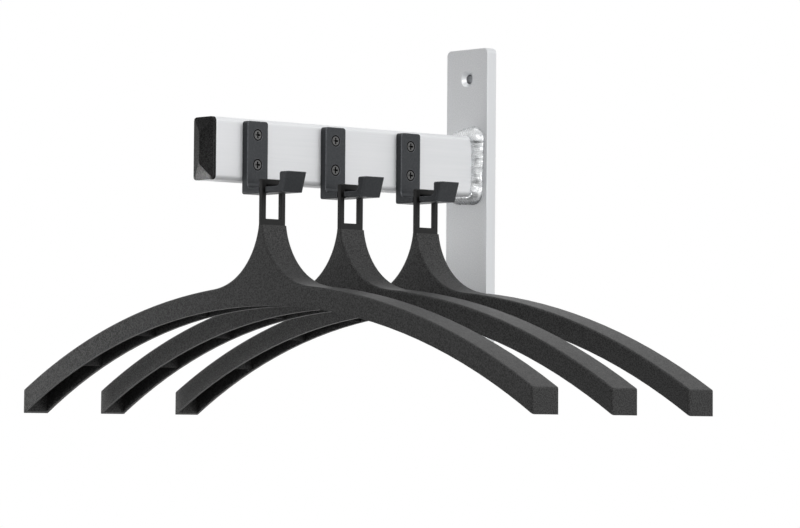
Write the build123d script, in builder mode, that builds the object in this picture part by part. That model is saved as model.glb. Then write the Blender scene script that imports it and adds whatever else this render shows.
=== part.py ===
from build123d import *
from math import asin, cos, radians, sin, sqrt, tan
import os

# Wall coat rack: a welded arm with three screwed-on hooks, each carrying a captive coat hanger.
# Millimetres, +Z up. The origin lies on the wall, on the axis of the arm. The arm runs out along -Y,
# and +X is to the right for someone who faces the wall. The hooks stand on the arm's +X side.

os.makedirs("parts", exist_ok=True)

# Wall plate: upright flat bar, held by two countersunk screws
plate_width = 40.0
plate_thickness = 8.0
plate_above_axis = 79.5
plate_below_axis = 120.5
plate_corner_radius = 3.5
plate_edge_radius = 0.8
wall_hole_radius = 3.0
wall_hole_sink_radius = 5.6
wall_hole_end_distance = 20.0

# Arm: rectangular tube, butted on the plate and welded all round
tube_width = 20.0
tube_height = 40.0
tube_wall = 3.0
tube_corner_radius = 3.0
tube_bore_corner_radius = 1.0
tube_length = 225.0
weld_leg_on_plate = 7.0
weld_leg_on_arm = 6.5
weld_toe = 0.4
weld_crown = 0.8

# End cap: moulded plug with a hip-roof head
cap_rim = 2.0
cap_head_height = 3.8
cap_ridge_radius = 0.4
cap_plug_depth = 14.0
cap_plug_wall = 1.6
cap_plug_clearance = 0.5
cap_fin_thickness = 1.0
cap_fin_count = 3

# Hooks: L-shaped profile with a raised tip, sawn to width and notched for the hanger's eye
front_hook_inset = 30.0
hook_pitch = 65.5
hook_width = 17.0
hook_plate_thickness = 5.0
hook_plate_above_axis = 18.2
hook_drop = 28.4
hook_bar_thickness = 4.0
hook_cradle = 31.5
hook_tip_height = 13.0
hook_tip_foot = 2.8
hook_tip_head = 7.0
hook_inner_radius = 3.0
hook_corner_radius = 2.0
hook_soft_radius = 1.4
hook_edge_break = 0.3
notch_length = 7.0
notch_radius = 0.8

# Hook screws: countersunk with a cross recess, tapped into the arm's wall
screw_radius = 2.0
screw_hole_clearance = 0.25
screw_head_radius = 3.75
screw_length = 10.0
screw_sink = 0.1
screw_pitch = 19.0
recess_span = 4.2
recess_width = 1.1
recess_depth = 1.7

# Hanger eye: stiff rectangular loop, its tang set into the hanger's neck
hang_offset = 14.7
eye_depth = 19.5
eye_bar = 3.6
eye_thickness = 3.1
eye_top_bar = 4.6
eye_window_height = 20.5
eye_foot = 3.8
eye_corner_radius = 0.8
eye_edge_break = 0.3
eye_clearance = 0.3
eye_side_clearance = 0.5
tang_width = 13.0
tang_thickness = 1.8
tang_length = 15.0
tang_hole_radius = 1.6

# Hanger: moulded channel, open below, with cross ribs between its walls
hanger_span = 496.0
hanger_wall = 2.0
hanger_arc_radius = 488.4
hanger_arm_depth = 13.7
hanger_edge_radius = 1.5
hanger_draft = 0.25
neck_thickness = 4.3
neck_depth = 19.8
neck_height = 37.5
neck_solid = 19.0
neck_lean = 8.0
neck_fall = 17.5
flare_half_width = 47.0
flare_reach = 28.0
rib_thickness = 1.6
rib_first = 17.5
rib_pitch = 56.2
ribs_per_side = 4
rib_recess = 0.8

# Places that follow from the sizes above
arm_end = plate_thickness + tube_length
tube_side = tube_width / 2
hook_face = tube_side + hook_plate_thickness
bar_top = -hook_drop + hook_bar_thickness
tip_inner = hook_face + hook_cradle
hang_x = hook_face + hang_offset
hook_places = {
    "front": -arm_end + front_hook_inset,
    "middle": -arm_end + front_hook_inset + hook_pitch,
    "rear": -arm_end + front_hook_inset + 2 * hook_pitch,
}
screw_spots = [(y, z) for y in hook_places.values() for z in (-screw_pitch / 2, screw_pitch / 2)]

eye_window_width = eye_depth - 2 * eye_bar
eye_seat = bar_top + eye_clearance
sway_axis_height = eye_seat + eye_thickness / 2
eye_top = eye_seat + eye_top_bar
window_floor = eye_seat - eye_window_height
neck_top = window_floor - eye_foot
bar_waist = eye_window_width - 2 * eye_side_clearance

arm_crown = neck_top - neck_height
arc_centre = arm_crown - hanger_arm_depth - hanger_arc_radius
half_span = hanger_span / 2
rib_places = [rib_first + rib_pitch * step for step in range(ribs_per_side)]


def arc_height(x, radius):
    """Height of the hanger's arc of this radius at the distance x from the middle."""
    return arc_centre + sqrt(radius**2 - x**2)


def half_depth(z):
    """Half the hanger's depth along Y at height z, which grows downwards with the draft."""
    return neck_depth / 2 + (neck_top - z) * tan(radians(hanger_draft))


# Wall plate
with BuildPart() as wall_plate:
    with BuildSketch(Plane.XZ):
        with Locations((0, (plate_above_axis - plate_below_axis) / 2)):
            RectangleRounded(plate_width, plate_above_axis + plate_below_axis, plate_corner_radius)
    extrude(amount=plate_thickness)
    fillet(wall_plate.faces().sort_by(Axis.Y)[0].edges(), plate_edge_radius)
    with Locations(Plane.XZ.offset(plate_thickness)):
        with Locations(
            (0, plate_above_axis - wall_hole_end_distance),
            (0, -plate_below_axis + wall_hole_end_distance),
        ):
            CounterSinkHole(wall_hole_radius, wall_hole_sink_radius, counter_sink_angle=90)
wall_plate.part.label = "wall_plate"
export_step(wall_plate.part, "parts/wall_plate.step")

# Arm tube, tapped for the hook screws
with BuildPart() as arm_tube:
    with BuildSketch(Plane.XZ.offset(plate_thickness)):
        RectangleRounded(tube_width, tube_height, tube_corner_radius)
        RectangleRounded(
            tube_width - 2 * tube_wall,
            tube_height - 2 * tube_wall,
            tube_bore_corner_radius,
            mode=Mode.SUBTRACT,
        )
    extrude(amount=tube_length)
    with Locations(Plane.YZ.offset(tube_side)):
        with Locations(*screw_spots):
            Hole(screw_radius, depth=2 * tube_wall)
arm_tube.part.label = "arm_tube"
export_step(arm_tube.part, "parts/arm_tube.step")

# Weld bead: crowned fillet all round the foot of the arm
with BuildPart() as weld_bead:
    middle_leg = (weld_leg_on_plate + weld_toe) / 2 + weld_crown
    for distance, leg in (
        (0, weld_leg_on_plate),
        (weld_leg_on_arm / 2, middle_leg),
        (weld_leg_on_arm, weld_toe),
    ):
        with BuildSketch(Plane.XZ.offset(plate_thickness + distance)):
            RectangleRounded(tube_width + 2 * leg, tube_height + 2 * leg, tube_corner_radius + leg)
    loft(ruled=True)
    with BuildSketch(Plane.XZ.offset(plate_thickness)):
        RectangleRounded(tube_width, tube_height, tube_corner_radius)
    extrude(amount=weld_leg_on_arm, mode=Mode.SUBTRACT)
weld_bead.part.label = "weld_bead"
export_step(weld_bead.part, "parts/weld_bead.step")

# End cap: rim flush with the tube, hip-roof head, and a finned plug in the bore
cap_tip = arm_end + cap_rim + cap_head_height
with BuildPart() as end_cap:
    with BuildSketch(Plane.XZ.offset(arm_end)):
        RectangleRounded(tube_width, tube_height, tube_corner_radius)
    extrude(amount=cap_rim + cap_head_height)
    with BuildSketch(Plane.XY):
        with BuildLine():
            Polyline(
                (-tube_side, -arm_end),
                (tube_side, -arm_end),
                (tube_side, -arm_end - cap_rim),
                (0, -cap_tip),
                (-tube_side, -arm_end - cap_rim),
                close=True,
            )
        make_face()
    extrude(amount=tube_height / 2, both=True, mode=Mode.INTERSECT)
    with BuildSketch(Plane.YZ):
        with BuildLine():
            Polyline(
                (-arm_end, -tube_height / 2),
                (-arm_end - cap_rim, -tube_height / 2),
                (-cap_tip, -tube_height / 2 + tube_side),
                (-cap_tip, tube_height / 2 - tube_side),
                (-arm_end - cap_rim, tube_height / 2),
                (-arm_end, tube_height / 2),
                close=True,
            )
        make_face()
    extrude(amount=tube_side, both=True, mode=Mode.INTERSECT)
    fillet(end_cap.edges().filter_by(Axis.Z).sort_by(Axis.Y)[0], cap_ridge_radius)
    bore_width = tube_width - 2 * tube_wall
    bore_height = tube_height - 2 * tube_wall
    plug_width = bore_width - 2 * cap_plug_clearance
    plug_height = bore_height - 2 * cap_plug_clearance
    with BuildSketch(Plane.XZ.offset(arm_end)):
        Rectangle(plug_width, plug_height)
        Rectangle(plug_width - 2 * cap_plug_wall, plug_height - 2 * cap_plug_wall, mode=Mode.SUBTRACT)
    extrude(amount=-cap_plug_depth)
    fin_step = cap_plug_depth / (cap_fin_count + 1)
    for fin in range(1, cap_fin_count + 1):
        with BuildSketch(Plane.XZ.offset(arm_end - fin * fin_step)):
            RectangleRounded(bore_width, bore_height, tube_bore_corner_radius)
            Rectangle(plug_width - 2 * cap_plug_wall, plug_height - 2 * cap_plug_wall, mode=Mode.SUBTRACT)
        extrude(amount=cap_fin_thickness / 2, both=True)
end_cap.part.label = "end_cap"
export_step(end_cap.part, "parts/end_cap.step")

# Hook, drawn once at Y = 0
with BuildPart() as hook_form:
    with BuildSketch(Plane.XZ):
        with BuildLine():
            Polyline(
                (tube_side, hook_plate_above_axis),
                (hook_face, hook_plate_above_axis),
                (hook_face, bar_top),
                (tip_inner, bar_top),
                (tip_inner, -hook_drop + hook_tip_height),
                (tip_inner + hook_tip_head, -hook_drop + hook_tip_height),
                (tip_inner + hook_tip_foot, -hook_drop),
                (tube_side, -hook_drop),
                close=True,
            )
        make_face()
    extrude(amount=hook_width / 2, both=True)
    cradle_corners = hook_form.edges().filter_by(Axis.Y).filter_by_position(
        Axis.Z, bar_top - hook_edge_break, bar_top + hook_edge_break
    )
    fillet(cradle_corners, hook_inner_radius)
    bottom_edges, _, tip_corners, top_corners = hook_form.edges().filter_by(Axis.X).group_by(Axis.Z)
    fillet(top_corners, hook_corner_radius)
    tip_face = hook_form.faces().sort_by(Axis.X)[-1]
    tip_sides = tip_face.edges().filter_by(Axis.Y, reverse=True)
    fillet(bottom_edges + tip_corners + tip_sides, hook_soft_radius)
    side_edges = hook_form.faces().filter_by(Axis.Y).edges()
    cradle_edges = side_edges.filter_by_position(
        Axis.X, hook_face - hook_edge_break, tip_inner + hook_edge_break
    ).filter_by_position(Axis.Z, bar_top - hook_edge_break, hook_plate_above_axis - hook_corner_radius)
    chamfer(cradle_edges.sort_by(Axis.X), hook_edge_break)
    with BuildSketch(Plane.XY.offset(-hook_drop)):
        with Locations((hang_x, hook_width / 2), (hang_x, -hook_width / 2)):
            RectangleRounded(notch_length, hook_width - bar_waist, notch_radius)
    extrude(amount=hook_bar_thickness, mode=Mode.SUBTRACT)
    with Locations(Plane.YZ.offset(hook_face)):
        with Locations((0, screw_pitch / 2), (0, -screw_pitch / 2)):
            CounterSinkHole(
                screw_radius + screw_hole_clearance,
                screw_head_radius + screw_sink,
                depth=2 * hook_plate_thickness,
                counter_sink_angle=90,
            )

for place, hook_y in hook_places.items():
    with BuildPart() as hook:
        with Locations((0, hook_y, 0)):
            add(hook_form.part)
    hook.part.label = f"{place}_hook"
    export_step(hook.part, f"parts/{place}_hook.step")

# Hook screw, drawn once with its head's face at the origin and its shank along -X
with BuildPart() as screw_form:
    with BuildSketch(Plane.XZ):
        with BuildLine():
            Polyline(
                (0, 0),
                (0, screw_head_radius),
                (-(screw_head_radius - screw_radius), screw_radius),
                (-screw_length + screw_radius / 2, screw_radius),
                (-screw_length, screw_radius / 2),
                (-screw_length, 0),
                close=True,
            )
        make_face()
    revolve(axis=Axis.X)
    with BuildSketch(Plane.YZ):
        Rectangle(recess_span, recess_width)
        Rectangle(recess_width, recess_span)
    extrude(amount=-recess_depth, mode=Mode.SUBTRACT)

with BuildPart() as hook_screws:
    with Locations(*[(hook_face - screw_sink, y, z) for y, z in screw_spots]):
        add(screw_form.part)
hook_screws.part.label = "hook_screws"
export_step(hook_screws.part, "parts/hook_screws.step")

# Hanger eye, drawn once at X = 0, Y = 0
with BuildPart() as eye_form:
    with BuildSketch(Plane.YZ) as eye_outline:
        with Locations((0, (eye_top + neck_top) / 2)):
            Rectangle(eye_depth, eye_top - neck_top)
        fillet(eye_outline.vertices().group_by(Axis.Y)[-1], eye_corner_radius)
        with Locations((0, (sway_axis_height + window_floor) / 2)):
            Rectangle(eye_window_width, sway_axis_height - window_floor, mode=Mode.SUBTRACT)
    extrude(amount=eye_thickness / 2, both=True)
    upright_edges = eye_form.edges().filter_by(Axis.Z)
    crown_edges = eye_form.edges().filter_by(Axis.Y).group_by(Axis.Z)[-1]
    chamfer(upright_edges + crown_edges, eye_edge_break)
    with BuildSketch(Plane.XZ):
        with Locations((0, sway_axis_height)):
            Circle(eye_thickness / 2)
    extrude(amount=eye_window_width / 2, both=True)
    with BuildSketch(Plane.YZ):
        with Locations((0, neck_top - tang_length / 2)):
            Rectangle(tang_width, tang_length)
        for side in (-1, 1):
            with Locations((side * tang_width / 4, neck_top - tang_length / 2)):
                Circle(tang_hole_radius, mode=Mode.SUBTRACT)
    extrude(amount=tang_thickness / 2, both=True)

# Hanger: its outline and, a wall further in, its hollow are drawn by the same function
crown_radius = hanger_arc_radius + hanger_arm_depth
quarter_handle = 0.552  # handle of the Bezier curve nearest to a quarter circle, in radii


def draw_half_outline(wall, below):
    """Right half of the outline on XZ, a wall inside the top and ends and reaching below the rim."""
    end = half_span - wall
    crown = crown_radius - wall
    rim = hanger_arc_radius - below
    foot = (flare_half_width, arc_height(flare_half_width, crown))
    flank = neck_thickness / 2 - wall
    fall = neck_fall + quarter_handle * wall
    lean = radians(neck_lean)
    reach = flare_reach + quarter_handle * wall
    slope = asin(flare_half_width / crown)
    Bezier(
        (flank, neck_top),
        (flank + fall * sin(lean), neck_top - fall * cos(lean)),
        (foot[0] - reach * cos(slope), foot[1] + reach * sin(slope)),
        foot,
    )
    ThreePointArc(foot, (half_span / 2, arc_height(half_span / 2, crown)), (end, arc_height(end, crown)))
    Line((end, arc_height(end, crown)), (end, arc_height(end, rim)))
    ThreePointArc(
        (end, arc_height(end, rim)),
        (half_span / 2, arc_height(half_span / 2, rim)),
        (-wall, arc_height(wall, rim)),
    )
    Line((-wall, arc_height(wall, rim)), (-wall, neck_top))
    Line((-wall, neck_top), (flank, neck_top))


# Core of the hanger's mould: the hollow, which leaves the cross ribs standing
rim_height = arc_height(half_span, hanger_arc_radius)
core_roof = neck_top - neck_solid
core_floor = rim_height - 3 * hanger_wall
with BuildPart() as hanger_core:
    with BuildSketch(Plane.XZ):
        with BuildLine():
            draw_half_outline(hanger_wall, hanger_wall)
        make_face()
        with Locations((half_span / 2, (core_roof + core_floor) / 2)):
            Rectangle(half_span, core_roof - core_floor, mode=Mode.INTERSECT)
        mirror(about=Plane.YZ)
    extrude(amount=half_depth(core_floor), both=True)
    with BuildSketch(Plane.YZ):
        with BuildLine():
            Polyline(
                (half_depth(core_roof) - hanger_wall, core_roof),
                (half_depth(core_floor) - hanger_wall, core_floor),
                (-half_depth(core_floor) + hanger_wall, core_floor),
                (-half_depth(core_roof) + hanger_wall, core_roof),
                close=True,
            )
        make_face()
    extrude(amount=half_span, both=True, mode=Mode.INTERSECT)
    with BuildSketch(Plane.XZ):
        for place in rib_places:
            rib_foot = arc_height(place, hanger_arc_radius) + rib_recess
            with Locations((place, (rib_foot + core_roof) / 2), (-place, (rib_foot + core_roof) / 2)):
                Rectangle(rib_thickness, core_roof - rib_foot)
    extrude(amount=half_depth(core_floor), both=True, mode=Mode.SUBTRACT)


def is_soft(edge):
    """True for the rounded edges of the outline, not for the open rim or the top of the neck."""
    box = edge.bounding_box()
    on_rim = box.min.Z < rim_height + hanger_wall and box.size.X > hanger_wall
    return box.size.Z > hanger_wall and not on_rim


# Hanger, drawn once at X = 0, Y = 0
with BuildPart() as hanger_form:
    with BuildSketch(Plane.XZ):
        with BuildLine():
            draw_half_outline(0, 0)
        make_face()
        mirror(about=Plane.YZ)
    extrude(amount=half_depth(rim_height), both=True)
    with BuildSketch(Plane.YZ):
        with BuildLine():
            Polyline(
                (half_depth(neck_top), neck_top),
                (half_depth(rim_height), rim_height),
                (-half_depth(rim_height), rim_height),
                (-half_depth(neck_top), neck_top),
                close=True,
            )
        make_face()
    extrude(amount=half_span, both=True, mode=Mode.INTERSECT)
    outline_edges = hanger_form.faces().sort_by(SortBy.AREA)[-2:].edges()
    end_height = arc_height(half_span, crown_radius)
    end_edges = hanger_form.edges().filter_by(Axis.Y).filter_by_position(
        Axis.Z, end_height - hanger_wall, end_height + hanger_wall
    )
    fillet(outline_edges.filter_by(is_soft) + end_edges, hanger_edge_radius)
    add(hanger_core.part, mode=Mode.SUBTRACT)
    with BuildSketch(Plane.YZ):
        with Locations((0, neck_top - tang_length / 2)):
            Rectangle(tang_width, tang_length)
    extrude(amount=tang_thickness / 2, both=True, mode=Mode.SUBTRACT)

for place, hook_y in hook_places.items():
    with BuildPart() as hanger:
        with Locations((hang_x, hook_y, 0)):
            add(hanger_form.part)
    hanger.part.label = f"{place}_hanger"
    export_step(hanger.part, f"parts/{place}_hanger.step")
    with BuildPart() as eye:
        with Locations((hang_x, hook_y, 0)):
            add(eye_form.part)
    eye.part.label = f"{place}_eye"
    export_step(eye.part, f"parts/{place}_eye.step")
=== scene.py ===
import logging
import math
from dataclasses import dataclass
from enum import Enum
from typing import Any

import bpy
from mathutils import Matrix, Vector, noise


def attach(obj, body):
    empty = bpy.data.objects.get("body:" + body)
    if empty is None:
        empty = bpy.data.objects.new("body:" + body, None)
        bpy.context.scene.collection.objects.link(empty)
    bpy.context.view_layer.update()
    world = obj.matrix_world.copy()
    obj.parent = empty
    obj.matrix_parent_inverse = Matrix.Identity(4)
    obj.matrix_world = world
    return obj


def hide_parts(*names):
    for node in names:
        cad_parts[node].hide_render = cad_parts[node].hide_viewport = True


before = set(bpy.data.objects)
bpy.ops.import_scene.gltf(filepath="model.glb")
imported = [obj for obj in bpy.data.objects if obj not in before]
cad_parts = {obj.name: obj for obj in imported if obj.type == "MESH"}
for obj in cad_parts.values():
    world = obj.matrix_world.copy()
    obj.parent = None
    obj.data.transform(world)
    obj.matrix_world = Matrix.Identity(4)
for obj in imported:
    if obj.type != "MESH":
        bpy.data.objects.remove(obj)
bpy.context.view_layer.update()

Tree = bpy.types.NodeTree
Socket = bpy.types.NodeSocket
Triple = tuple[float, float, float]
Pair = tuple[float, float]

MM = 0.001  # metres in a millimetre
IMAGE_WIDTH_PX = 800.0  # the width that the camera's focal length belongs to
SENSOR_WIDTH_MM = 36.0
NOISE_ROUGHNESS = 0.6  # weight of a noise's finer layers
BEVEL_SAMPLES = 6
CREVICE_SAMPLES = 8
EDGE_MATCH: Pair = (0.93, 0.995)  # match of the plain and the rounded normal, on an edge and off
CREVICE_OPEN: Pair = (0.35, 0.85)  # open share of the surroundings, deep in a crevice and outside
MIX_FACTOR, MIX_FIRST, MIX_SECOND, MIX_RESULT = 0, 6, 7, 2  # sockets of a mix node for colours
WHITE = "#ffffff"

log = logging.getLogger("coat_rack")


class Body(Enum):
    """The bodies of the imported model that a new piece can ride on."""

    RACK = "rack"


class Slot(Enum):
    """The material slots that a new piece can take its finish from."""

    WELD_METAL = "weld_metal"


def linear(hex_colour: str) -> tuple[float, float, float, float]:
    """Turns an sRGB hex colour into linear light.

    Args:
        hex_colour: The colour as "#rrggbb".

    Returns:
        Linear red, green and blue, and an alpha of 1.
    """
    shares = [int(hex_colour[place : place + 2], 16) / 255 for place in (1, 3, 5)]
    red, green, blue = (s / 12.92 if s <= 0.04045 else ((s + 0.055) / 1.055) ** 2.4 for s in shares)
    return red, green, blue, 1.0


def put(
    tree: Tree,
    kind: str,
    settings: dict[Any, Any] | None = None,
    links: dict[Any, Socket] | None = None,
) -> bpy.types.Node:
    """Adds a node with its settings and links.

    Args:
        tree: The node tree that gets the node.
        kind: The node's type name.
        settings: Values by socket name or number, or by the node's own property name.
        links: Source sockets by the name or number of the input that each feeds.

    Returns:
        The new node.
    """
    node = tree.nodes.new(kind)
    for key, value in (settings or {}).items():
        if isinstance(key, int) or key in node.inputs:
            node.inputs[key].default_value = value
        else:
            setattr(node, key, value)
    for key, source in (links or {}).items():
        tree.links.new(source, node.inputs[key])
    return node


def grain(
    tree: Tree, size_mm: float, detail: float = 2.0, stretch: Triple = (1.0, 1.0, 1.0)
) -> Socket:
    """Noise in the object's own space, so that it sticks to the surface and moves with it.

    Args:
        tree: The material's node tree.
        size_mm: Width of the noise's features.
        detail: How many finer layers it has.
        stretch: How often the pattern repeats along X, Y and Z, relative to the size.

    Returns:
        The socket with the noise, around 0.5.
    """
    place = put(tree, "ShaderNodeTexCoord").outputs["Object"]
    scaled = put(tree, "ShaderNodeMapping", {"Scale": stretch}, {"Vector": place})
    settings = {"Scale": 1 / (size_mm * MM), "Detail": detail, "Roughness": NOISE_ROUGHNESS}
    pattern = put(tree, "ShaderNodeTexNoise", settings, {"Vector": scaled.outputs["Vector"]})
    return pattern.outputs["Fac"]


def spread(
    tree: Tree, value: Socket, low: float, high: float, start: float = 0.3, end: float = 0.7
) -> Socket:
    """Maps a value's range from start to end onto low to high.

    Args:
        tree: The material's node tree.
        value: The socket to map.
        low: The result at start.
        high: The result at end.
        start: The value that gives low. Most of a noise lies between 0.3 and 0.7.
        end: The value that gives high.

    Returns:
        The socket with the mapped value.
    """
    settings = {"From Min": start, "From Max": end, "To Min": low, "To Max": high}
    return put(tree, "ShaderNodeMapRange", settings, {"Value": value}).outputs["Result"]


def product(tree: Tree, first: Socket, second: Socket) -> Socket:
    """Multiplies two values.

    Args:
        tree: The material's node tree.
        first: The socket with one value.
        second: The socket with the other.

    Returns:
        The socket with their product.
    """
    return put(
        tree, "ShaderNodeMath", {"operation": "MULTIPLY"}, {0: first, 1: second}
    ).outputs["Value"]


def blend(tree: Tree, share: Socket, first: str | Socket, second: str | Socket) -> Socket:
    """Mixes two colours, each a hex colour or a socket.

    Args:
        tree: The material's node tree.
        share: How much of the second colour shows, from 0 to 1.
        first: The colour at 0.
        second: The colour at 1.

    Returns:
        The socket with the mixed colour.
    """
    settings: dict[Any, Any] = {"data_type": "RGBA"}
    links: dict[Any, Socket] = {MIX_FACTOR: share}
    for place, colour in ((MIX_FIRST, first), (MIX_SECOND, second)):
        if isinstance(colour, str):
            settings[place] = linear(colour)
        else:
            links[place] = colour
    return put(tree, "ShaderNodeMix", settings, links).outputs[MIX_RESULT]


def part_of(tree: Tree, space: str, axis: str) -> Socket:
    """Takes one part of a texture coordinate.

    Args:
        tree: The node tree of a material or of the world.
        space: Name of the coordinate, such as "Object" or "Normal".
        axis: "X", "Y" or "Z".

    Returns:
        The socket with the coordinate's part.
    """
    place = put(tree, "ShaderNodeTexCoord").outputs[space]
    return put(tree, "ShaderNodeSeparateXYZ", {}, {"Vector": place}).outputs[axis]


def edge_highlight_mask(tree: Tree, reach_mm: float) -> Socket:
    """Finds the outer edges, for a painted highlight along them.

    Args:
        tree: The material's node tree.
        reach_mm: How far from an edge the painted highlight reaches.

    Returns:
        A socket that is 0 on flat faces and 1 on the edges.
    """
    rounded = put(tree, "ShaderNodeBevel", {"samples": BEVEL_SAMPLES, "Radius": reach_mm * MM})
    surface = put(tree, "ShaderNodeNewGeometry")
    match = put(
        tree,
        "ShaderNodeVectorMath",
        {"operation": "DOT_PRODUCT"},
        {0: rounded.outputs["Normal"], 1: surface.outputs["Normal"]},
    )
    return spread(tree, match.outputs["Value"], 1.0, 0.0, *EDGE_MATCH)


def crevice_shade(tree: Tree, reach_mm: float) -> Socket:
    """Finds recesses and inner corners, for a painted shade there.

    Args:
        tree: The material's node tree.
        reach_mm: How far the painted shade reaches.

    Returns:
        A socket that is 0 in the open and 1 deep in a crevice.
    """
    settings = {"samples": CREVICE_SAMPLES, "Distance": reach_mm * MM}
    open_share = put(tree, "ShaderNodeAmbientOcclusion", settings).outputs["AO"]
    return spread(tree, open_share, 1.0, 0.0, *CREVICE_OPEN)


def axis_distance(tree: Tree, axes: str, first_mm: Pair, pitch_mm: Pair) -> Socket:
    """Measures how far a point is from the nearest axis of a grid of holes or screws.

    Args:
        tree: The material's node tree.
        axes: The two axes of the grid's plane, such as "YZ".
        first_mm: Place of one hole or screw along them.
        pitch_mm: Distance from one to the next along them.

    Returns:
        The socket with the distance in metres.
    """
    offsets = {}
    for axis, first, pitch in zip(axes, first_mm, pitch_mm):
        place = {0: part_of(tree, "Object", axis)}
        shifted = put(tree, "ShaderNodeMath", {"operation": "SUBTRACT", 1: first * MM}, place)
        limits = {"operation": "WRAP", 1: pitch / 2 * MM, 2: -pitch / 2 * MM}
        offsets[axis] = put(tree, "ShaderNodeMath", limits, {0: shifted.outputs[0]}).outputs[0]
    flat = put(tree, "ShaderNodeCombineXYZ", {}, offsets).outputs[0]
    return put(tree, "ShaderNodeVectorMath", {"operation": "LENGTH"}, {0: flat}).outputs["Value"]


def seen_directly(tree: Tree) -> Socket:
    """Finds the rays by which the eye sees a thing: straight, in a reflection or through glass.

    Args:
        tree: The node tree of a material or of the world.

    Returns:
        A socket that is 1 for camera, glossy and transmission rays, and 0 for the rest.
    """
    path = put(tree, "ShaderNodeLightPath")
    seen = path.outputs["Is Camera Ray"]
    for further in ("Is Glossy Ray", "Is Transmission Ray"):
        both = {0: seen, 1: path.outputs[further]}
        seen = put(tree, "ShaderNodeMath", {"operation": "MAXIMUM"}, both).outputs[0]
    return seen


def relief(
    tree: Tree, height: Socket, depth_mm: float, strength: float, edge_mm: float = 0.0
) -> Socket:
    """Turns a height pattern into a normal, with sharp edges softened first.

    Args:
        tree: The material's node tree.
        height: The pattern, from 0 to 1.
        depth_mm: Height of the pattern from its lowest to its highest point.
        strength: Share of the pattern's relief that is used.
        edge_mm: Radius that sharp edges are softened by, or 0 for none.

    Returns:
        The socket with the normal.
    """
    links = {"Height": height}
    if edge_mm:
        settings = {"samples": BEVEL_SAMPLES, "Radius": edge_mm * MM}
        links["Normal"] = put(tree, "ShaderNodeBevel", settings).outputs["Normal"]
    settings = {"Strength": strength, "Distance": depth_mm * MM}
    return put(tree, "ShaderNodeBump", settings, links).outputs["Normal"]


@dataclass(frozen=True)
class Finish:
    """A surface finish, which makes one material."""

    name: str
    roughness: float
    roughness_mm: float = 3.0  # size of the pattern in the roughness
    smoother: float = 0.04  # how far the roughness goes down and up in it
    rougher: float = 0.04

    def colour(self, tree: Tree) -> Socket:
        """The socket with the surface's colour."""
        raise NotImplementedError

    def normal(self, tree: Tree) -> Socket:
        """The socket with the surface's relief."""
        raise NotImplementedError

    def constants(self) -> dict[str, Any]:
        """Values set on the shader's own sockets."""
        return {}

    def links(self, tree: Tree) -> dict[str, Socket]:
        """Further sockets that feed the shader, by the name of its input."""
        return {}

    def make(self) -> bpy.types.Material:
        """Builds the material.

        Returns:
            The new material, with a Principled shader fed by the finish's own patterns.
        """
        material = bpy.data.materials.new(self.name)
        material.use_nodes = True
        tree = material.node_tree
        tree.nodes.clear()
        low, high = self.roughness - self.smoother, self.roughness + self.rougher
        links = {
            "Base Color": self.colour(tree),
            "Roughness": spread(tree, grain(tree, self.roughness_mm), low, high),
            "Normal": self.normal(tree),
            **self.links(tree),
        }
        shader = put(tree, "ShaderNodeBsdfPrincipled", self.constants(), links)
        put(tree, "ShaderNodeOutputMaterial", {}, {"Surface": shader.outputs["BSDF"]})
        return material


@dataclass(frozen=True)
class BlastedAluminium(Finish):
    """Anodised flat bar, glass-blasted on its faces and drawn smooth on its narrow sides.

    The blasted faces look an even light grey with a fine grain. The sides look brighter and plain,
    partly for their drawn finish and partly by painted light where they face the lamps. The holes
    were drilled last: a bright countersink round a bore darkened by painted shade.
    """

    face: str = "#c8cacc"
    face_light: str = "#dcdddf"
    # The sides' lighter grey is partly their drawn finish and partly painted light where they face
    # the lamps
    side: str = "#e2e4e6"
    # Painted shade: the bore's dark grey stands for the shade inside the hole
    bore: str = "#7c7e81"
    metallic: float = 0.3  # the blasted oxide layer scatters most of the light
    grain_mm: float = 0.8  # bead marks are 0.1 to 0.2 mm and are drawn coarser, so that they show
    grain_depth_mm: float = 0.05
    edge_mm: float = 0.3
    cloud_mm: float = 30.0
    cloud_share: float = 0.25
    side_turn: Pair = (0.5, 0.95)  # Y part of the normal, on a side and on a face
    bore_mm: float = 3.0
    bore_edge_mm: Pair = (0.05, 0.25)  # from here to there beyond the bore, its painted shade fades
    countersink_mm: float = 5.6
    countersink_fade_mm: float = 0.2
    first_mm: Pair = (0.0, 59.5)  # place of one hole along X and Z
    pitch_mm: Pair = (400.0, 160.0)

    def colour(self, tree: Tree) -> Socket:
        """Grained grey faces, lighter sides partly painted light, painted shade in the bores.

        Args:
            tree: The material's node tree.

        Returns:
            The socket with the colour.
        """
        marks = spread(tree, grain(tree, self.grain_mm), 0.0, 1.0)
        face = blend(tree, marks, self.face, self.face_light)
        clouds = spread(tree, grain(tree, self.cloud_mm), 0.0, self.cloud_share)
        face = blend(tree, clouds, face, self.face_light)
        # Sides, picked by their normal, partly painted lighter where they face the lamps
        along = {0: part_of(tree, "Normal", "Y")}
        facing = put(tree, "ShaderNodeMath", {"operation": "ABSOLUTE"}, along).outputs[0]
        plate = blend(tree, spread(tree, facing, 0.0, 1.0, *self.side_turn), self.side, face)
        # Painted shade in the bores
        distance = axis_distance(tree, "XZ", self.first_mm, self.pitch_mm)
        edge = ((self.bore_mm + beyond) * MM for beyond in self.bore_edge_mm)
        return blend(tree, spread(tree, distance, 1.0, 0.0, *edge), plate, self.bore)

    def normal(self, tree: Tree) -> Socket:
        """Shallow bead marks."""
        marks = grain(tree, self.grain_mm)
        return relief(tree, marks, self.grain_depth_mm, strength=0.5, edge_mm=self.edge_mm)

    def links(self, tree: Tree) -> dict[str, Socket]:
        """Bare metal in the holes.

        Args:
            tree: The material's node tree.

        Returns:
            The socket with the metallic share, by the name of its input.
        """
        distance = axis_distance(tree, "XZ", self.first_mm, self.pitch_mm)
        edge = ((self.countersink_mm - self.countersink_fade_mm) * MM, self.countersink_mm * MM)
        return {"Metallic": spread(tree, distance, 1.0, self.metallic, *edge)}


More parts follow.
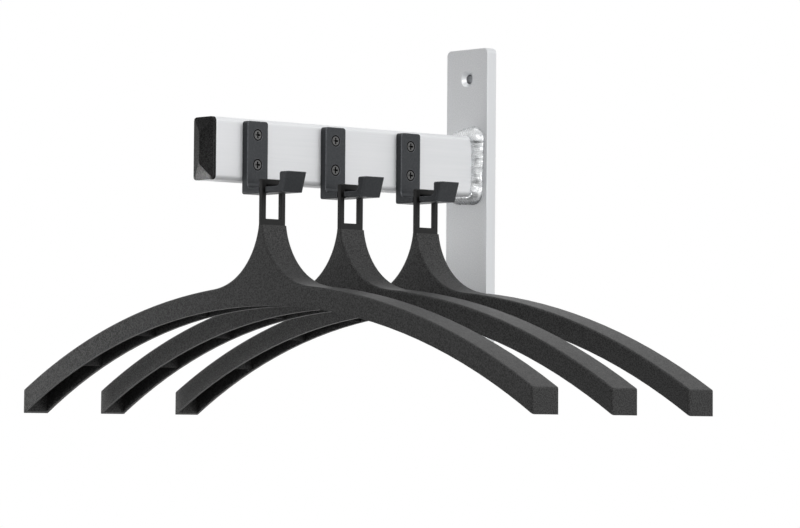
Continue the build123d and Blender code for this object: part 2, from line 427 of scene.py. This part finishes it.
@dataclass(frozen=True)
class AnodisedAluminium(Finish):
    """Extruded tube, clear satin anodised: pale and silky, with faint lines along its length."""

    base: str = "#f2f3f5"
    line: str = "#eceef0"
    metallic: float = 0.15  # the etched oxide layer scatters most of the light
    line_mm: float = 1.2  # die lines are finer than this and are drawn coarser, so that they show
    line_depth_mm: float = 0.004
    along: Triple = (1.0, 0.02, 1.0)  # the lines run along Y
    drift_mm: float = 40.0
    line_share: float = 0.7

    def lines(self, tree: Tree) -> Socket:
        """The pattern of lines along Y."""
        return grain(tree, self.line_mm, detail=1.0, stretch=self.along)

    def colour(self, tree: Tree) -> Socket:
        """Pale silver with faint lines, which come and go.

        Args:
            tree: The material's node tree.

        Returns:
            The socket with the colour.
        """
        lines = product(tree, self.lines(tree), grain(tree, self.drift_mm, detail=1.0))
        share = spread(tree, lines, 0.0, self.line_share, start=0.15, end=0.45)
        return blend(tree, share, self.base, self.line)

    def normal(self, tree: Tree) -> Socket:
        """Very shallow lines."""
        return relief(tree, self.lines(tree), self.line_depth_mm, strength=0.3)

    def constants(self) -> dict[str, Any]:
        """The metallic share, with the default IOR."""
        return {"Metallic": self.metallic}


@dataclass(frozen=True)
class WeldMetal(Finish):
    """Aluminium weld metal, left as it froze: bright, glassy ripples with dull patches of oxide."""

    roughness_mm: float = 1.5
    smoother: float = 0.1
    rougher: float = 0.2
    bright: str = "#e6e8e9"
    dull: str = "#c6c8ca"
    # Painted shade on the bead's underside, which the lamps hardly reach
    underside_shade: str = "#8c8e90"
    metallic: float = 0.6  # the oxide skin scatters some of the light
    patch_mm: float = 3.0
    pit_mm: float = 0.9
    pit_depth_mm: float = 0.02
    shade_below_z: Pair = (-0.75, -0.2)  # Z part of the normal where the painted shade is full, and where it ends

    def colour(self, tree: Tree) -> Socket:
        """Bright metal with dull patches, and painted shade on the underside.

        Args:
            tree: The material's node tree.

        Returns:
            The socket with the colour.
        """
        patches = spread(tree, grain(tree, self.patch_mm), 0.0, 1.0, start=0.45, end=0.7)
        metal = blend(tree, patches, self.bright, self.dull)
        # Painted shade on the faces that look down
        below = spread(tree, part_of(tree, "Normal", "Z"), 1.0, 0.0, *self.shade_below_z)
        return blend(tree, below, metal, self.underside_shade)

    def normal(self, tree: Tree) -> Socket:
        """Fine pitting on top of the modelled ripples."""
        return relief(tree, grain(tree, self.pit_mm), self.pit_depth_mm, strength=0.5)

    def constants(self) -> dict[str, Any]:
        """The metallic share, with the default IOR."""
        return {"Metallic": self.metallic}


@dataclass(frozen=True)
class BlackAnodised(Finish):
    """Aluminium profile, blasted and anodised black: charcoal metal, with painted edge highlights.
    """

    base: str = "#383a3c"
    light: str = "#424345"
    # Painted highlight along the edges
    edge: str = "#74767a"
    grain_mm: float = 0.9  # the real grain is finer and is drawn coarser, so that it shows
    grain_depth_mm: float = 0.04
    edge_mm: float = 0.25
    highlight_mm: float = 0.6
    highlight_patch_mm: float = 2.0
    highlight_range: Pair = (0.4, 1.0)

    def colour(self, tree: Tree) -> Socket:
        """Charcoal with a fine grain, and painted highlights on the edges.

        Args:
            tree: The material's node tree.

        Returns:
            The socket with the colour.
        """
        marks = spread(tree, grain(tree, self.grain_mm), 0.0, 1.0)
        body = blend(tree, marks, self.base, self.light)
        patches = spread(tree, grain(tree, self.highlight_patch_mm), *self.highlight_range)
        # Painted highlight on the edges, in uneven patches
        return blend(tree, product(tree, edge_highlight_mask(tree, self.highlight_mm), patches), body, self.edge)

    def normal(self, tree: Tree) -> Socket:
        """Shallow grain over softened edges."""
        marks = grain(tree, self.grain_mm)
        return relief(tree, marks, self.grain_depth_mm, strength=0.5, edge_mm=self.edge_mm)

    def constants(self) -> dict[str, Any]:
        """A metal, with the default IOR."""
        return {"Metallic": 1.0}


@dataclass(frozen=True)
class BlackZinc(Finish):
    """Steel screw, zinc plated and passivated black: nearly black with a dull metallic glint."""

    base: str = "#5a5a5a"
    # Painted shade: black in the recess and in a ring round the head, where the countersink is
    # shaded
    rim: str = "#0a0a0a"
    rim_radius_mm: float = 3.1
    rim_fade_mm: float = 0.4
    recess_mm: float = 1.2
    first_mm: Pair = (-203.0, 9.5)  # place of one screw along Y and Z
    pitch_mm: Pair = (65.5, 19.0)

    def colour(self, tree: Tree) -> Socket:
        """Dark grey, with painted shade: black in the recess and on the head's rim.

        Args:
            tree: The material's node tree.

        Returns:
            The socket with the colour.
        """
        radius = axis_distance(tree, "YZ", self.first_mm, self.pitch_mm)
        edge = ((self.rim_radius_mm - self.rim_fade_mm) * MM, self.rim_radius_mm * MM)
        # Painted shade round the head and in the recess
        head = blend(tree, spread(tree, radius, 0.0, 1.0, *edge), self.base, self.rim)
        return blend(tree, crevice_shade(tree, self.recess_mm), head, self.rim)

    def normal(self, tree: Tree) -> Socket:
        """Slight unevenness of the plating, over softened edges."""
        bumps = grain(tree, size_mm=0.6)
        return relief(tree, bumps, depth_mm=0.03, strength=0.5, edge_mm=0.15)

    def constants(self) -> dict[str, Any]:
        """A metal, with the default IOR."""
        return {"Metallic": 1.0}


@dataclass(frozen=True)
class GrainedPlastic(Finish):
    """Plastic, moulded against a spark-eroded surface: dark grey, dry, with a fine stipple."""

    base: str = "#070707"
    light: str = "#404040"
    # Painted highlight along the edges
    edge: str = "#3c3c3c"
    ior: float = 1.53
    specular: float = 0.25
    grain_mm: float = 0.8  # the stipple is 0.1 to 0.3 mm and is drawn coarser, so that it shows
    grain_depth_mm: float = 0.08
    highlight_mm: float = 0.8
    highlight_patch_mm: float = 4.0
    highlight_range: Pair = (0.1, 0.7)

    def colour(self, tree: Tree) -> Socket:
        """Dark grey with a light stipple and painted highlights on the edges.

        Args:
            tree: The material's node tree.

        Returns:
            The socket with the colour.
        """
        marks = grain(tree, self.grain_mm, detail=1.0)
        stipple = spread(tree, marks, 0.0, 1.0, start=0.35, end=0.65)
        body = blend(tree, stipple, self.base, self.light)
        patches = spread(tree, grain(tree, self.highlight_patch_mm), *self.highlight_range)
        # Painted highlight on the edges, in uneven patches
        return blend(tree, product(tree, edge_highlight_mask(tree, self.highlight_mm), patches), body, self.edge)

    def normal(self, tree: Tree) -> Socket:
        """Stippled relief."""
        marks = grain(tree, self.grain_mm, detail=3.0)
        return relief(tree, marks, self.grain_depth_mm, strength=0.6)

    def constants(self) -> dict[str, Any]:
        """No metal, and the plastic's own IOR."""
        return {"Metallic": 0.0, "IOR": self.ior, "Specular IOR Level": self.specular}


@dataclass(frozen=True)
class SmoothAcetal(Finish):
    """Acetal, moulded against a polished surface: plain, nearly black, slightly waxy."""

    base: str = "#111111"
    light: str = "#191919"
    ior: float = 1.48
    specular: float = 0.25
    flow_mm: float = 6.0
    flow_stretch: Triple = (1.0, 1.0, 0.3)

    def colour(self, tree: Tree) -> Socket:
        """Near black with faint flow marks."""
        flow = spread(tree, grain(tree, self.flow_mm, stretch=self.flow_stretch), 0.0, 1.0)
        return blend(tree, flow, self.base, self.light)

    def normal(self, tree: Tree) -> Socket:
        """Nearly smooth, with softened edges."""
        waves = grain(tree, size_mm=1.5)
        return relief(tree, waves, depth_mm=0.02, strength=0.4, edge_mm=0.2)

    def constants(self) -> dict[str, Any]:
        """No metal, and acetal's IOR."""
        return {"Metallic": 0.0, "IOR": self.ior, "Specular IOR Level": self.specular}


@dataclass(frozen=True)
class StudioPaper(Finish):
    """Matt paper, which the floor of the studio is covered with: plain and white to the eye."""

    base: str = "#a2a2a1"
    light: str = "#a8a8a7"
    glow: float = 0.75
    mottle_mm: float = 60.0

    def colour(self, tree: Tree) -> Socket:
        """Pale grey with a faint mottle."""
        mottle = spread(tree, grain(tree, self.mottle_mm), 0.0, 1.0)
        return blend(tree, mottle, self.base, self.light)

    def normal(self, tree: Tree) -> Socket:
        """Paper tooth."""
        return relief(tree, grain(tree, size_mm=1.0), depth_mm=0.05, strength=0.2)

    def constants(self) -> dict[str, Any]:
        """The colour of the glow."""
        return {"Emission Color": linear(WHITE)}

    def links(self, tree: Tree) -> dict[str, Socket]:
        """A glow that only the eye sees, so that the floor is white but throws little light up."""
        return {"Emission Strength": spread(tree, seen_directly(tree), 0.0, self.glow, 0.0, 1.0)}


def dress(nodes: tuple[str, ...], finish: Finish) -> None:
    """Gives a finish to nodes that are imported from model.glb.

    Args:
        nodes: Names of the nodes.
        finish: The finish, of which one material is made for them all.
    """
    material = finish.make()
    for name in nodes:
        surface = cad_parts[name].data
        surface.materials.clear()
        surface.materials.append(material)
        log.info("%s: %s", name, material.name)


@dataclass
class WallPlate:
    """The upright flat bar that is screwed to the wall."""

    plate: str = "wall_plate"

    def build(self) -> None:
        """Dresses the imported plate."""
        dress((self.plate,), BlastedAluminium("glass-blasted anodised aluminium", 0.42))


@dataclass
class WeldBead:
    """The weld all round the arm's foot, with frozen ripples and uneven legs."""

    half_width_mm: float = 10.0
    half_height_mm: float = 20.0
    corner_mm: float = 3.0
    foot_y_mm: float = -8.0
    ripple_mm: float = 1.5
    ripple_depth_mm: float = 0.07
    ripple_bow_mm: float = 1.5  # how far a ripple's middle runs ahead of its ends
    ripple_roundness: float = 0.7
    wander_mm: float = 0.8  # how far the ripples stray from an even spacing
    wander_size_mm: float = 7.0
    lump_mm: float = 5.5
    lump_depth_mm: float = 0.55
    lump_lift: float = 0.2
    lump_place: Triple = (3.1, 7.7, 1.9)  # where the noise is read, so that lumps and toes differ
    toe_mm: float = 0.35
    toe_size_mm: float = 2.2
    toe_place: Triple = (0.0, 5.0, 0.0)
    toe_fade: float = 5.0  # the lift fades out over one in this many parts of the bead's face
    fullness: float = 1.15  # 1 is a quarter round, and more is flatter
    buried_mm: float = 0.15  # how deep the bead's back lies in the plate and in the arm
    columns: int = 560
    rows: int = 30
    # Round the tube from the middle of its right side upwards: leg on the plate, leg on the arm
    legs_mm: tuple[Pair, ...] = (
        (6.4, 4.4), (6.7, 4.6), (7.3, 6.0), (6.0, 6.0), (4.2, 5.0), (5.6, 5.2),
        (5.8, 5.0), (5.6, 5.2), (5.0, 5.6), (5.2, 6.2), (5.8, 5.8), (6.2, 4.9),
    )

    def perimeter_mm(self) -> float:
        """Length of the tube's outline."""
        straight = 2 * (self.half_width_mm + self.half_height_mm - 2 * self.corner_mm)
        return 2 * straight + 2 * math.pi * self.corner_mm

    def outline(self, travel: float) -> tuple[Vector, Vector]:
        """A point of the tube's outline.

        Args:
            travel: Distance in millimetres from the middle of the right side, upwards first.

        Returns:
            The point and the outward direction there, both on the XZ plane.
        """
        flat_x = self.half_width_mm - self.corner_mm
        flat_z = self.half_height_mm - self.corner_mm
        turn = math.pi / 2 * self.corner_mm
        spare = 1.0  # takes up rounding at the end of the last run
        rest = travel % self.perimeter_mm()
        # Each run: length, start, direction and outward direction, or for a corner its centre and
        # the angle at which it starts
        runs = (
            (flat_z, (self.half_width_mm, 0.0), (0.0, 1.0), (1.0, 0.0)),
            (turn, (flat_x, flat_z), None, 0.0),
            (2 * flat_x, (flat_x, self.half_height_mm), (-1.0, 0.0), (0.0, 1.0)),
            (turn, (-flat_x, flat_z), None, 90.0),
            (2 * flat_z, (-self.half_width_mm, flat_z), (0.0, -1.0), (-1.0, 0.0)),
            (turn, (-flat_x, -flat_z), None, 180.0),
            (2 * flat_x, (-flat_x, -self.half_height_mm), (1.0, 0.0), (0.0, -1.0)),
            (turn, (flat_x, -flat_z), None, 270.0),
            (flat_z + spare, (self.half_width_mm, -flat_z), (0.0, 1.0), (1.0, 0.0)),
        )
        for length, start, along, facing in runs:
            if rest <= length:
                if along is None:
                    angle = math.radians(facing) + rest / self.corner_mm
                    out = Vector((math.cos(angle), 0.0, math.sin(angle)))
                    return Vector((start[0], 0.0, start[1])) + out * self.corner_mm, out
                point = Vector((start[0] + along[0] * rest, 0.0, start[1] + along[1] * rest))
                return point, Vector((facing[0], 0.0, facing[1]))
            rest -= length
        raise ValueError("the outline is shorter than its runs")

    def legs(self, travel: float) -> Pair:
        """The bead's legs on the plate and on the arm, blended between the stated ones.

        Args:
            travel: Distance in millimetres along the outline.

        Returns:
            Both legs in millimetres.
        """
        place = travel / self.perimeter_mm() * len(self.legs_mm)
        before = int(place) % len(self.legs_mm)
        after = (before + 1) % len(self.legs_mm)
        share = (1 - math.cos((place - int(place)) * math.pi)) / 2
        first, second = self.legs_mm[before], self.legs_mm[after]
        on_plate = first[0] + (second[0] - first[0]) * share
        on_arm = first[1] + (second[1] - first[1]) * share
        return on_plate, on_arm

    def swell(self, travel: float, share: float, spot: Vector) -> float:
        """How far ripples and lumps lift the surface, in millimetres.

        Args:
            travel: Distance along the outline.
            share: Place across the bead, 0 at the plate and 1 at the arm.
            spot: The point before it is lifted.

        Returns:
            The lift, which fades out at both toes.
        """
        count = round(self.perimeter_mm() / self.ripple_mm)
        bow = self.ripple_bow_mm * (1 - (2 * share - 1) ** 2)
        wander = noise.noise(spot / self.wander_size_mm) * self.wander_mm
        turns = (travel + bow + wander) / self.perimeter_mm() * count
        ripple = abs(math.sin(math.pi * turns)) ** self.ripple_roundness * self.ripple_depth_mm
        lump = noise.noise(spot / self.lump_mm + Vector(self.lump_place)) + self.lump_lift
        fade = min(1.0, self.toe_fade * share, self.toe_fade * (1 - share))
        return (ripple + lump * self.lump_depth_mm) * fade

    def ring(self, column: int) -> list[Vector]:
        """One slice of the bead, square to the tube's outline.

        Args:
            column: Number of the slice.

        Returns:
            The slice's points in millimetres, from the heel buried in the plate over the rounded
            face to the toe buried in the arm.
        """
        travel = self.perimeter_mm() * column / self.columns
        base, out = self.outline(travel)
        toe = noise.noise(base / self.toe_size_mm + Vector(self.toe_place)) * self.toe_mm
        on_plate, on_arm = (leg + toe for leg in self.legs(travel))
        inward = Vector((0.0, self.buried_mm, 0.0))
        points = [base - out * self.buried_mm + inward, base + out * on_plate + inward]
        for row in range(self.rows + 1):
            share = row / self.rows
            angle = share * math.pi / 2
            rise = math.cos(angle) ** self.fullness if row < self.rows else 0.0
            reach = math.sin(angle) ** self.fullness if row else 0.0
            spot = base + out * on_plate * rise - Vector((0.0, on_arm * reach, 0.0))
            lift = out * math.cos(angle) - Vector((0.0, math.sin(angle), 0.0))
            points.append(spot + lift * self.swell(travel, share, spot))
        points.append(base - out * self.buried_mm - Vector((0.0, on_arm, 0.0)))
        return points

    def faces(self, count: int) -> list[tuple[int, int, int, int]]:
        """Joins the slices round the tube.

        Args:
            count: Points in each slice.

        Returns:
            The corners of each face, as numbers of points.
        """
        corners = []
        for column in range(self.columns):
            here, following = column * count, (column + 1) % self.columns * count
            for row in range(count):
                beyond = (row + 1) % count
                corners.append((here + row, following + row, following + beyond, here + beyond))
        return corners

    def build(self) -> None:
        """Builds the rippled bead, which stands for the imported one."""
        rings = [self.ring(column) for column in range(self.columns)]
        foot = Vector((0.0, self.foot_y_mm, 0.0))
        points = [tuple((point + foot) * MM) for ring in rings for point in ring]
        faces = self.faces(len(rings[0]))
        mesh = bpy.data.meshes.new("rippled_weld")
        mesh.from_pydata(points, [], faces)
        mesh.polygons.foreach_set("use_smooth", [True] * len(faces))
        mesh.update()
        mesh.materials.append(WeldMetal("aluminium weld metal", 0.22).make())
        piece = bpy.data.objects.new("rippled_weld", mesh)
        bpy.context.scene.collection.objects.link(piece)
        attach(piece, Body.RACK.value)
        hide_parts("weld_bead")
        log.info("rippled_weld: %d faces", len(faces))


@dataclass
class Arm:
    """The tube that stands out from the plate, with its end cap."""

    tube: str = "arm_tube"
    cap: str = "end_cap"

    def build(self) -> None:
        """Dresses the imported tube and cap."""
        dress((self.tube,), AnodisedAluminium("satin anodised aluminium", 0.45))
        # Polyethylene is smoother and waxier than the hangers' nylon, so its facets stand apart
        # The cap's light edge colour is a painted highlight on its rims.
        polyethylene = GrainedPlastic(
            "moulded polyethylene", 0.16, base="#1e1e1e", light="#3c3c3c", edge="#666666",
            specular=0.013, grain_mm=0.7, grain_depth_mm=0.015,
        )
        dress((self.cap,), polyethylene)


@dataclass
class HookRow:
    """The three hooks and their screws."""

    hooks: tuple[str, ...] = ("front_hook", "middle_hook", "rear_hook")
    screws: str = "hook_screws"

    def build(self) -> None:
        """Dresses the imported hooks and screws."""
        dress(self.hooks, BlackAnodised("black anodised aluminium", 0.45))
        dress((self.screws,), BlackZinc("black zinc plated steel", 0.38))


@dataclass
class HangerSet:
    """The three hangers and the eyes that they hang by."""

    hangers: tuple[str, ...] = ("front_hanger", "middle_hanger", "rear_hanger")
    eyes: tuple[str, ...] = ("front_eye", "middle_eye", "rear_eye")

    def build(self) -> None:
        """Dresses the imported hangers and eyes."""
        dress(self.hangers, GrainedPlastic("glass-filled nylon", 0.48))
        dress(self.eyes, SmoothAcetal("acetal", 0.4))


@dataclass(frozen=True)
class Lamp:
    """One lamp: its place, size and target in metres, its power, and the angle of its beam.

    A honeycomb grid before the lamp narrows the beam.
    """

    name: str
    place: Triple
    size: Pair
    watts: float
    target: Triple = (0.03, -0.12, -0.07)
    beam_deg: float = 180.0

    def build(self) -> None:
        """Builds the lamp, which points at its target."""
        light = bpy.data.lights.new(self.name, "AREA")
        light.shape = "RECTANGLE"
        light.size, light.size_y = self.size
        light.energy = self.watts
        light.spread = math.radians(self.beam_deg)
        lamp = bpy.data.objects.new(self.name, light)
        lamp.location = self.place
        lamp.visible_camera = False
        lamp.rotation_mode = "QUATERNION"
        ahead = Vector(self.target) - Vector(self.place)
        lamp.rotation_quaternion = ahead.to_track_quat("-Z", "Y")
        bpy.context.scene.collection.objects.link(lamp)


@dataclass
class Studio:
    """Floor, background and soft lamps."""

    floor_z_mm: float = -1500.0
    floor_radius_mm: float = 2600.0
    floor_corners: int = 128
    fill_above: float = 0.5
    fill_below: float = 0.12
    horizon: float = 0.35  # the fill changes from this far below the level to this far above
    lamps: tuple[Lamp, ...] = (
        Lamp("key_softbox", (-0.3, -0.3, 1.9), (1.0, 1.0), 1.5),
        Lamp("front_softbox", (1.6, -1.9, 1.2), (0.9, 0.9), 7.0),
        Lamp("right_softbox", (2.4, 0.4, 1.0), (1.6, 1.6), 27.0),
        # Lights the low facet of the end cap
        Lamp(
            "cap_spot", (-0.45, -0.56, -0.27), (0.03, 0.03), 0.0028,
            target=(0.002, -0.239, -0.017), beam_deg=3.0,
        ),
        # Lights the ends of the hangers' left arms
        Lamp(
            "left_spot", (-0.5, -1.4, -0.3), (0.45, 0.4), 0.9,
            target=(-0.38, -0.2, -0.2), beam_deg=26.0,
        ),
    )

    def build(self) -> None:
        """Builds the floor, the lamps and the world."""
        self.build_floor()
        for lamp in self.lamps:
            lamp.build()
        self.build_world()

    def build_floor(self) -> None:
        """Builds a round floor below the reach of the swaying hangers."""
        radius, height = self.floor_radius_mm * MM, self.floor_z_mm * MM
        rim = []
        for step in range(self.floor_corners):
            angle = 2 * math.pi * step / self.floor_corners
            rim.append((radius * math.cos(angle), radius * math.sin(angle), height))
        mesh = bpy.data.meshes.new("studio_floor")
        mesh.from_pydata(rim, [], [tuple(range(self.floor_corners))])
        mesh.materials.append(StudioPaper("matt white paper", 0.9).make())
        floor = bpy.data.objects.new("studio_floor", mesh)
        bpy.context.scene.collection.objects.link(floor)
        log.info("%s: %s", floor.name, mesh.materials[0].name)

    def build_world(self) -> None:
        """Builds a world that is white to the eye and in reflections, and soft fill otherwise."""
        world = bpy.data.worlds.new("white studio")
        world.use_nodes = True
        tree = world.node_tree
        tree.nodes.clear()
        height = part_of(tree, "Generated", "Z")
        fills = (self.fill_below, self.fill_above)
        level = spread(tree, height, *fills, -self.horizon, self.horizon)
        colour = {"Color": linear(WHITE)}
        fill = put(tree, "ShaderNodeBackground", colour, {"Strength": level})
        white = put(tree, "ShaderNodeBackground", colour | {"Strength": 1.0})
        links = {0: seen_directly(tree), 1: fill.outputs[0], 2: white.outputs[0]}
        both = put(tree, "ShaderNodeMixShader", {}, links)
        put(tree, "ShaderNodeOutputWorld", {}, {"Surface": both.outputs[0]})
        bpy.context.scene.world = world


@dataclass
class PhotoCamera:
    """The camera, at the photograph's angle: it stands to the right of the arm, a little below."""

    turn_deg: float = 48.0
    rise_deg: float = 2.567
    roll_deg: float = 0.44
    focal_px: float = 3720.0
    distance_mm: float = 2395.5
    target_mm: Triple = (47.34, -110.0, -70.08)
    clip_m: Pair = (0.1, 50.0)

    def build(self) -> None:
        """Builds the camera and makes it the scene's."""
        turn, rise, roll = (math.radians(a) for a in (self.turn_deg, self.rise_deg, self.roll_deg))
        level = Vector((-math.sin(turn), math.cos(turn), 0.0)) * math.cos(rise)
        ahead = level + Vector((0.0, 0.0, math.sin(rise)))
        right = Vector((math.cos(turn), math.sin(turn), 0.0))
        up = right.cross(ahead)
        right, up = (
            right * math.cos(roll) + up * math.sin(roll),
            up * math.cos(roll) - right * math.sin(roll),
        )
        data = bpy.data.cameras.new("photo_camera")
        data.sensor_width = SENSOR_WIDTH_MM
        data.lens = self.focal_px * SENSOR_WIDTH_MM / IMAGE_WIDTH_PX
        data.clip_start, data.clip_end = self.clip_m
        camera = bpy.data.objects.new("photo_camera", data)
        place = (Vector(self.target_mm) - ahead * self.distance_mm) * MM
        turned = Matrix((right, up, -ahead)).transposed().to_4x4()
        camera.matrix_world = Matrix.Translation(place) @ turned
        bpy.context.scene.collection.objects.link(camera)
        bpy.context.scene.camera = camera


def main() -> None:
    """Builds the whole scene in order."""
    logging.basicConfig(level=logging.INFO, format="%(message)s")
    PhotoCamera().build()
    WallPlate().build()
    WeldBead().build()
    Arm().build()
    HookRow().build()
    HangerSet().build()
    Studio().build()
    bpy.context.scene.view_settings.view_transform = "Standard"


if __name__ == "__main__":
    main()
